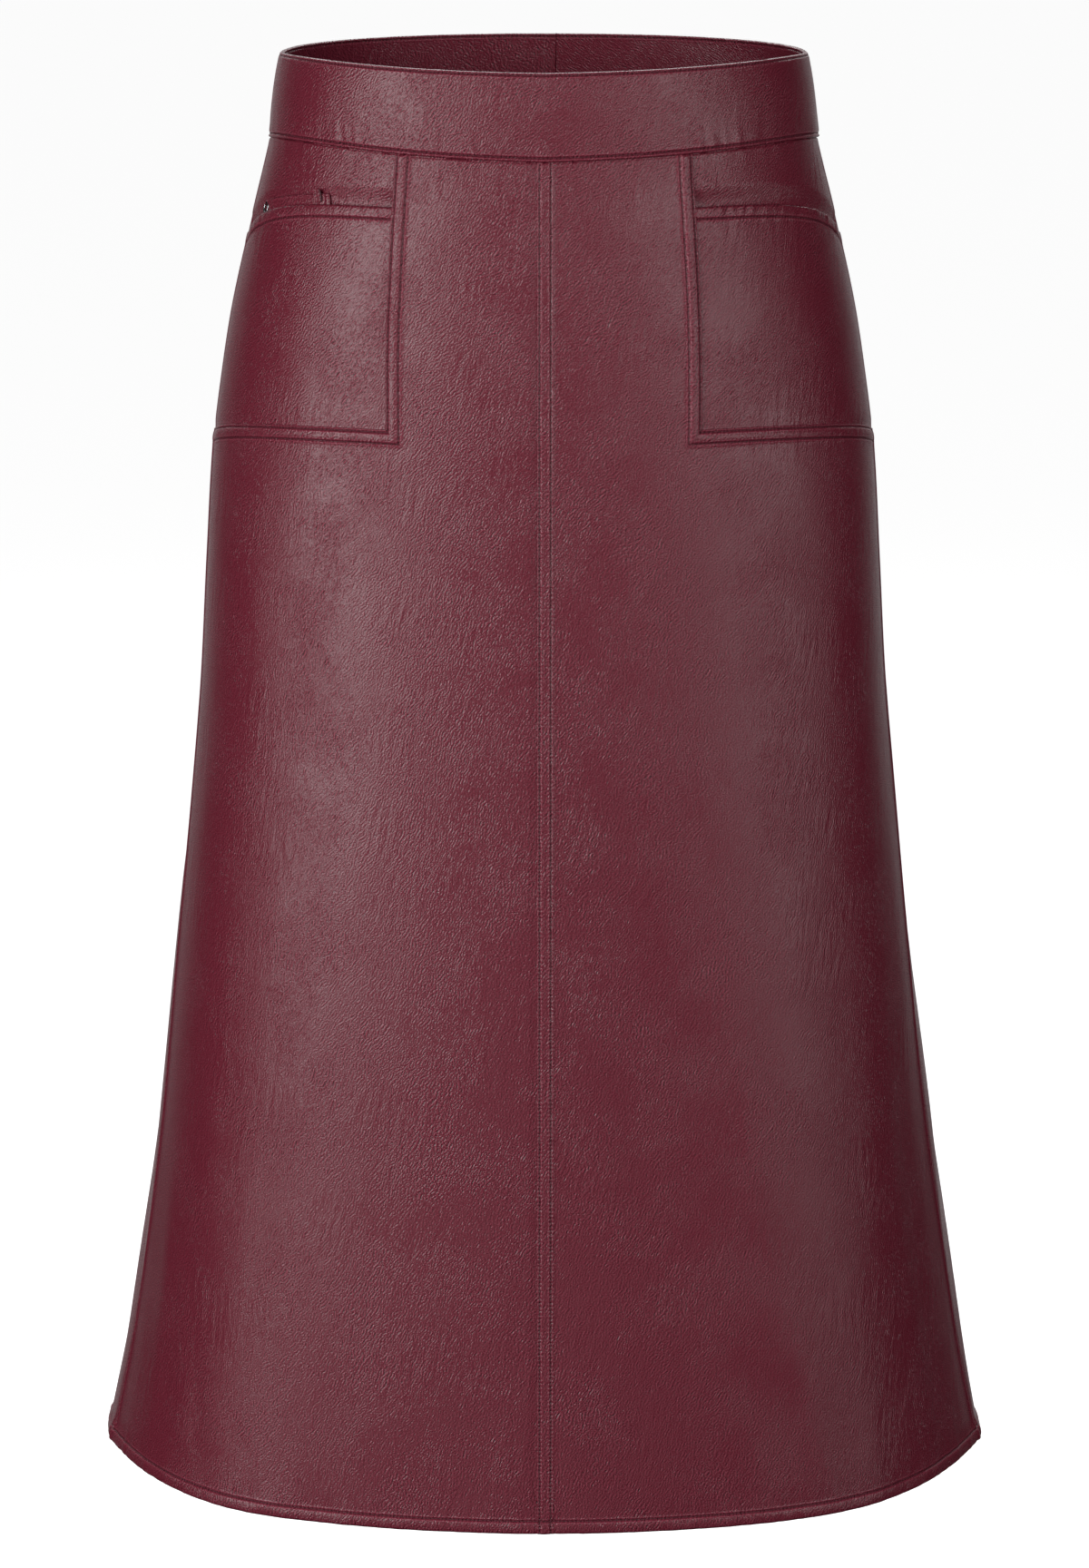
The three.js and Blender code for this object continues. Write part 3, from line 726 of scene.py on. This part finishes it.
def yoke_fall(angle, z):
    """The yoke falls behind the pocket's mouth: 0 well above it and 1 from just above it down."""
    return ramp(YOKE_DIP - (z - pocket_mouth(angle)), 0, YOKE_DIP - YOKE_DIP_END)


def hip_yoke(side):
    """The piece above the pocket, which runs on down behind it as the pocket's back."""
    columns = stretch([(0, -UNDERLAP), (0, 3), (1, -7), (1, 0)], [9, 54, 9])
    rows = stretch([(0, 0), (0, -4), (1, 13), (1, 0), (2, 0), (2, -UNDERLAP)], [6, 18, 18, 24, 3])
    surface = grid([pocket_edge, side_seam], columns, [waist_seam, pocket_mouth, pocket_foot], rows)
    distance, angle, z = surface
    swell = drape(side, distance, z)
    inside = distance - pocket_edge(z)
    low = -UNDER * (1 - ramp(inside, 0.3, 6)) * (1 - yoke_fall(angle, z))
    fall = low - POCKET_DEPTH * yoke_fall(angle, z)
    lift = swell + fall + round_edge(waist_seam(angle) - z, 1.2)
    lift = lift + pucker(distance, waist_seam(angle) - z, 8, 0.25, 71)
    lift = lift + side_ridge(side_seam(z) - distance) * 0.6 * (1 - yoke_fall(angle, z))
    pulled = np.exp(-(inside / 18) ** 2 - ((z - pocket_mouth(angle) - 8) / 14) ** 2)
    lift = lift + 0.4 * pulled * noise(distance + z, z - distance, 4.5, 26, 73)
    made = shell(f"hip_yoke_{WORD[side]}", side, surface, lift, swell + fall - LEATHER,
                 (distance, np.full(z.shape, 9.0)))
    declare(made[0], f"hip_yoke_{WORD[side]}")


def back_panel(side):
    """One half of the back, from the side seam to the centre back seam."""
    columns = stretch([(0, 0), (0, 6), (1, -7), (1, 0)], [9, 105, 12])
    down = [6, 210, 6, 15]
    rows = stretch([(0, 0), (0, -4), (1, HEM_TURN + 4), (1, HEM_TURN), (1, 0)], down)
    surface = grid([side_seam, back_seam(side)], columns, [waist_seam, fixed(HEM)], rows)
    distance, angle, z = surface
    from_side, from_back = distance - side_seam(z), back_seam(side)(z) - distance
    swell = drape(side, distance, z)
    lift = swell + round_edge(from_side, 1.3) + round_edge(from_back, 1.3)
    lift = lift - 0.5 * (1 - ramp(from_side, 0, 5))
    lift = lift + pucker(z, from_back, 7, 0.2, 81 + side)
    lift = lift + hem_relief(z - HEM, side * distance, from_side, 43)
    from_waist = waist_seam(angle) - z
    lift = lift + round_edge(from_waist, 1.2) + pucker(distance, from_waist, 8, 0.25, 85)
    inner = swell - LEATHER - LEATHER * 0.9 * (1 - ramp(z - HEM, HEM_TURN, HEM_TURN + 2))
    made = shell(f"back_panel_{WORD[side]}", side, surface, lift, inner,
                 nearest_row((distance, z - HEM - HEM_TURN)))
    declare(made[0], f"back_panel_{WORD[side]}")
    sew("hem", made, (sum(down[:3]), slice(None)), distance)


# Small gathers above the waist seam: distance round to the wearer's left and height, in mm
BAND_GATHERS = [(-113, 0.8), (-107, 0.6), (-101, 0.8), (-36, 0.55), (-31, 0.4), (76, 0.5), (84, 0.7),
                (91, 0.5), (99, 0.6), (107, 0.5), (-64, 0.3)]


def band_relief(d_rim, d_seam, distance, seed):
    """Across the waistband: a rounded fold with a row of stitches at the rim, a soft belly, and a narrow
    roll below a sunk row above the waist seam."""
    lift = BAND_OUT + round_edge(d_rim, 1.6) + round_edge(d_seam, 1.1)
    lift = lift + groove(d_rim - RIM_STITCH, "rim") + groove(d_seam - SEAM_STITCH, "waist")
    lift = lift + puff(d_rim, RIM_STITCH, BAND - SEAM_STITCH, 0.9)
    lift = lift + pucker(distance, d_seam - SEAM_STITCH, 9, 0.35, seed, 6.5)
    for at, height in BAND_GATHERS:
        lift = lift + height * np.exp(-((distance - at + 0.15 * d_seam) / 1.6) ** 2 - (d_seam / 11) ** 2)
    return lift + pucker(distance, d_rim, 5, 0.12, seed + 1, 4.0)


def waistband(name, side, start, end, steps, seed, allowance=0.0):
    """A stretch of the waistband between two lines that run down it. Its inner face is the facing, with
    the rim's stitches sunk in it too, and a seam allowance that lifts it beside the centre back."""
    columns = stretch([(0, 0), (0, 3), (1, -9), (1, 0)], [9, steps, 18])
    down = [6, 9, 30, 9, 6]
    rows = stretch([(0, 0), (0, -RIM_STITCH), (0, -5), (1, 5), (1, SEAM_STITCH), (1, 0)], down)
    surface = grid([start, end], columns, [rim, waist_seam], rows)
    distance, angle, z = surface
    d_rim, d_seam = rim(angle) - z, z - waist_seam(angle)
    belly = noise(distance, z, 38, 60, seed + 9) * 0.25
    ends = np.minimum(distance - start(z), end(z) - distance)
    lift = belly + band_relief(d_rim, d_seam, distance, seed) + round_edge(ends, 0.9)
    inner = belly - BAND_IN - groove(d_rim - RIM_STITCH, "rim") - round_edge(d_rim, 1.2)
    inner = inner - round_edge(ends, 0.6) - pucker(distance, d_rim, 8, 0.2, seed + 2, 5.0)
    inner = inner - allowance * (1 - ramp(end(z) - distance, 6.6, 7.2))
    made = shell(name, side, surface, lift, inner, nearest_row((distance, d_rim - RIM_STITCH),
                                                               (distance, d_seam - SEAM_STITCH)), coarse=1)
    sew("waist", made, (down[0], slice(None)), distance)
    sew("waist", made, (sum(down[:4]), slice(None)), distance)
    declare(made[0], name)


# The centre back seam leans to the wearer's left, so the right back of the band is longer. Its seam
# allowance is folded to that side
BACK_ALLOWANCE = {1: 0.0, -1: 0.45}

for side in (1, -1):
    front_panel(side)
    pocket_front(side)
    hip_yoke(side)
    back_panel(side)
    waistband(f"waistband_back_{WORD[side]}", side, side_seam, back_seam(side),
              87, 91 + side, BACK_ALLOWANCE[side])
waistband("waistband_front", 1, lambda z: -side_seam(z), side_seam, 300, 97)


# The strap in the wearer's right pocket

MOUTH_MIDDLE = -0.4      # the strap's middle is this far above the pocket's mouth
STRAP_HALF = 6.0
STRAP_RISE = 1.4         # its eyelet end droops less than the mouth does
EYELET, EYELET_ABOVE, EYELET_WIDE = 177.6, 2.6, 0.9
RING_RADIUS, RING_HALF = 3.1, 0.7


def slab(name, start, end, middle, half_height, bottom, top, relief):
    """A flat strip that lies on the hip yoke by the pocket's mouth, its ends and edges rounded: a
    superellipse swept round the cloth. Heights are above the mouth, and bottom and top above the yoke."""
    along = start + (end - start) * (0.5 - 0.5 * np.cos(np.linspace(0, math.pi, 121)))[:, None]
    turn = np.radians(np.arange(0, 360, 5))[None, :]
    c, s = np.cos(turn), np.sin(turn)
    near_end = np.minimum(along - start, end - along)
    shrink = np.sqrt(np.clip(1 - np.clip(1 - near_end / 1.6, 0, 1) ** 2, 0.0004, 1))
    height = middle + (half_height - 1.2 * (1 - shrink)) * np.sign(c) * np.abs(c) ** 0.3
    level = (bottom + top) / 2 + shrink * (top - bottom) / 2 * np.sign(s) * np.abs(s) ** 0.55
    angle = angle_at(along + 0 * turn, np.full((121, 72), MOUTH))
    z = pocket_mouth(angle) + height + STRAP_RISE * ramp(along, 145, 182)
    angle = angle_at(along + 0 * turn, z)
    rise, sewing_and_shade = relief(along + 0 * turn, height)
    level = level + rise * (s > 0.2) + drape(-1, along + 0 * turn, z) - POCKET_DEPTH * yoke_fall(angle, z)
    points = cloth(angle, z) + cloth_normal(angle, z) * level[..., None]
    points[..., 0] *= -1
    ids = np.arange(121 * 72).reshape(121, 72)
    nxt = np.roll(ids, -1, axis=1)
    quads = np.stack([ids[:-1], ids[1:], nxt[1:], nxt[:-1]], axis=-1).reshape(-1, 4)
    faces = quads.tolist() + [ids[0].tolist(), ids[-1, ::-1].tolist()]
    layers = {"cloth": np.stack([-along + 0 * turn, z], axis=-1), "sewing_and_shade": np.stack(sewing_and_shade, axis=-1)}
    layers = {k: v.reshape(-1, 2) for k, v in layers.items()}
    piece = new_object(name, points.reshape(-1, 3), faces, leather, layers)
    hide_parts(name)
    return piece


def strap_relief(along, height):
    """The folded end stands up in a ridge, and the eyelet's hole is a sunk pit. Painted shade darkens the pit
    and a line just under the strap's top edge, stopping a few mm short of the eyelet, and a faint painted
    highlight runs about 1 mm outside both.
    """
    rise = 0.5 * np.exp(-((along - 121.2) / 1.1) ** 2) - 0.35 * np.exp(-((along - 123.4) / 0.9) ** 2)
    rise = rise + 0.2 * noise(along, height, 7, 9, 111)
    away = np.hypot((along - EYELET) / EYELET_WIDE, height - EYELET_ABOVE)
    # Painted shade in the eyelet's pit and as a shadow line under the strap's top edge
    top = np.abs(height - MOUTH_MIDDLE - STRAP_HALF + 0.3)
    shade = np.minimum(np.maximum(away - 2.2, 0), top + 0.25 + ramp(along, 170, 176))
    return rise - 1.0 * (1 - ramp(away, 2.3, 2.9)), (0 * along, shade)


def keeper_relief(along, height):
    """A narrow loop with a ridge along each edge, painted shade at its very edges, and a faint painted
    highlight just inside them.
    """
    ridges = sum(0.7 * np.exp(-((along - at) / 0.9) ** 2) for at in (125.9, 129.3))
    return ridges, (0 * along, np.minimum(along - 124.6, 130.4 - along) * 0.8)


slab("pocket_strap", 119.7, 181.5, MOUTH_MIDDLE, STRAP_HALF, 0.3, 1.6, strap_relief)
slab("strap_keeper", 124.6, 130.4, 4.3, 3.3, 1.7, 2.6, keeper_relief)


def eyelet():
    """A rolled steel ring: an ellipse swept round a circle, which lies on the strap's face."""
    spot = np.full((1, 1), EYELET)
    at = angle_at(spot, np.full((1, 1), MOUTH))
    z = pocket_mouth(at) + EYELET_ABOVE + STRAP_RISE * ramp(EYELET, 145, 182)
    at = angle_at(spot, z)
    out = cloth_normal(at, z)[0, 0]
    level = 1.75 + drape(-1, spot, z) - POCKET_DEPTH * yoke_fall(at, z)
    middle = cloth(at, z)[0, 0] + out * level[0, 0]
    aside = np.cross([0, 0, 1.0], out)
    aside /= np.linalg.norm(aside)
    up = np.cross(out, aside)
    a, b = np.radians(np.arange(0, 360, 7.5))[:, None], np.radians(np.arange(0, 360, 22.5))[None, :]
    radius = RING_RADIUS + RING_HALF * np.cos(b)
    ring = (middle + (EYELET_WIDE * radius * np.cos(a))[..., None] * aside
            + (radius * np.sin(a))[..., None] * up + (0.5 * np.sin(b) + 0 * a)[..., None] * out)
    ring[..., 0] *= -1
    ids = np.arange(48 * 16).reshape(48, 16)
    right, below = np.roll(ids, -1, axis=0), np.roll(ids, -1, axis=1)
    both = np.roll(right, -1, axis=1)
    quads = np.stack([ids, below, both, right], axis=-1).reshape(-1, 4)
    piece = new_object("strap_eyelet", ring.reshape(-1, 3), quads.tolist(), steel)
    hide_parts("strap_eyelet")


eyelet()


# Thread

def stitches(name, rows, radius, arch, material):
    """Rows of thread: each stitch is a short rounded tube from one needle hole to the next, its ends sunk
    and its middle raised, a little askew to the row."""
    tubes = []
    ring = np.radians(np.arange(0, 360, 60))
    t = np.array([0.0, 0.12, 0.5, 0.88, 1.0])
    for points, normals, along in rows:
        order = np.argsort(along)
        along, points, normals = along[order], points[order], normals[order]
        holes = STITCH * np.arange(math.ceil(along[0] / STITCH), math.floor(along[-1] / STITCH))
        at = holes[:, None] + STITCH * (0.1 + 0.8 * t)[None, :]
        centre, out = (np.stack([np.interp(at, along, v[:, k]) for k in range(3)], axis=-1)
                       for v in (points, normals))
        ahead = np.gradient(centre, axis=1)
        ahead /= np.linalg.norm(ahead, axis=-1, keepdims=True)
        aside = np.cross(ahead, out)
        rise = arch * (1 - (2 * t - 1) ** 2) - 0.12
        centre = centre + out * rise[None, :, None] + aside * (0.12 * (2 * t - 1))[None, :, None]
        size = radius * np.array([0.45, 0.9, 1.0, 0.9, 0.45])[None, :, None, None]
        tubes.append(centre[:, :, None] + size * (out[:, :, None] * np.cos(ring)[:, None]
                                                  + aside[:, :, None] * np.sin(ring)[:, None]))
    tubes = np.concatenate(tubes)
    count, rounds, sides = tubes.shape[:3]
    ids = np.arange(count * rounds * sides).reshape(count, rounds, sides)
    nxt = np.roll(ids, -1, axis=2)
    quads = np.stack([ids[:, :-1], nxt[:, :-1], nxt[:, 1:], ids[:, 1:]], axis=-1).reshape(-1, 4)
    faces = quads.tolist() + ids[:, 0, ::-1].tolist() + ids[:, -1].tolist()
    return new_object(name, tubes.reshape(-1, 3), faces, material)


for group in ROWS:
    stitches(f"topstitching_{group}", ROWS[group], THREAD_RADIUS, THREAD_ARCH, thread)


# Camera, floor and light

def look_at(thing, target):
    """Turns a light or camera so that its own -Z axis points at a place."""
    away = np.array(thing.location) - np.array(target, float)
    yaw, pitch = math.atan2(away[0], -away[1]), math.acos(away[2] / np.linalg.norm(away))
    thing.rotation_euler = (pitch, 0, yaw)


# The lens comes from the photo's perspective: the picture is 1728 high and the focal length 6050.2 of the
# same units, on a 36 mm high sensor. The camera is level with a standing person's chest, looking down.
FOCAL, PICTURE, SENSOR = 6050.2, 1728, 36
camera = bpy.data.objects.new("camera", bpy.data.cameras.new("camera"))
camera.data.lens = SENSOR * FOCAL / PICTURE
camera.data.sensor_width = SENSOR
camera.location = (0, -2.964, 0.335)
camera.rotation_euler = (math.radians(90 - 13.6065), 0, 0)
camera.data.shift_x = 0.7 / PICTURE
bpy.context.scene.collection.objects.link(camera)
bpy.context.scene.camera = camera

floor_mesh = bpy.data.meshes.new("floor")
FLOOR_HALF, FLOOR_Z = 30.0, -1.15
floor_mesh.from_pydata([(x * FLOOR_HALF, y * FLOOR_HALF, FLOOR_Z)
                        for x, y in ((-1, -1), (1, -1), (1, 1), (-1, 1))], [], [(0, 1, 2, 3)])
floor = bpy.data.objects.new("floor", floor_mesh)
bpy.context.scene.collection.objects.link(floor)
paper = bpy.data.materials.new("white_paper_floor")
paper.use_nodes = True
for key, value in {"Base Color": linear("#dcdcdc"), "Roughness": 1.0, "Specular IOR Level": 0.0,
                   "Emission Color": (1, 1, 1, 1), "Emission Strength": 0.95}.items():
    paper.node_tree.nodes["Principled BSDF"].inputs[key].default_value = value
floor_mesh.materials.append(paper)
floor.visible_glossy = floor.visible_diffuse = False

# A white backdrop behind the skirt lights its edges, and the rest of the room is dark
BACKDROP = 0.5
world = bpy.data.worlds.new("studio")
world.use_nodes = True
bpy.context.scene.world = world
room = world.node_tree
seen = add(room, "ShaderNodeLightPath")
where = add(room, "ShaderNodeTexCoord")
towards = add(room, "ShaderNodeSeparateXYZ", {0: where.outputs["Generated"]})
behind = add(room, "ShaderNodeMapRange", {"Value": towards.outputs["Y"]}, interpolation_type="SMOOTHSTEP",
             inputs={"From Min": 0.7, "From Max": 1.0, "To Min": 0.0, "To Max": BACKDROP})
shown = add(room, "ShaderNodeMix", {0: seen.outputs["Is Camera Ray"], 2: behind.outputs[0]},
            data_type="FLOAT", inputs={3: 1.0})
room.links.new(shown.outputs[0], room.nodes["Background"].inputs["Strength"])
room.nodes["Background"].inputs["Color"].default_value = (1, 1, 1, 1)

# Softboxes: degrees round from the camera (plus is the picture's right), height and distance of the
# middle in metres, width, height, and radiance, where 1 is as bright as the shown backdrop
SOFTBOXES = {
    "name":     ["key", "key_high", "fill", "fill_high", "low", "top", "back_left", "back_right"],
    "round":    [-56, -40, 61, 31, -10, 30, 162, -162],
    "z":        [-0.3, 0.55, -0.3, 0.55, -1.05, 2.0, 1.6, 1.6],
    "distance": [2.4, 2.4, 2.4, 2.4, 2.4, 1.9, 2.2, 2.2],
    "width":    [1.3, 1.5, 1.2, 1.3, 2.6, 2.2, 1.4, 1.4],
    "height":   [0.75, 0.9, 0.7, 0.9, 0.8, 1.0, 1.0, 1.0],
    "radiance": [5.9, 6.0, 3.2, 4.0, 0.6, 0.6, 4.5, 4.5],
}
for name, turn, height, away, wide, tall, radiance in zip(*SOFTBOXES.values()):
    light = bpy.data.objects.new(name, bpy.data.lights.new(name, "AREA"))
    light.data.shape = "RECTANGLE"
    light.data.size, light.data.size_y = wide, tall
    light.data.energy = radiance * math.pi * wide * tall
    light.location = (away * math.sin(math.radians(turn)), -away * math.cos(math.radians(turn)), height)
    look_at(light, (0, 0, -0.35))
    bpy.context.scene.collection.objects.link(light)

bpy.context.scene.view_settings.view_transform = "Standard"
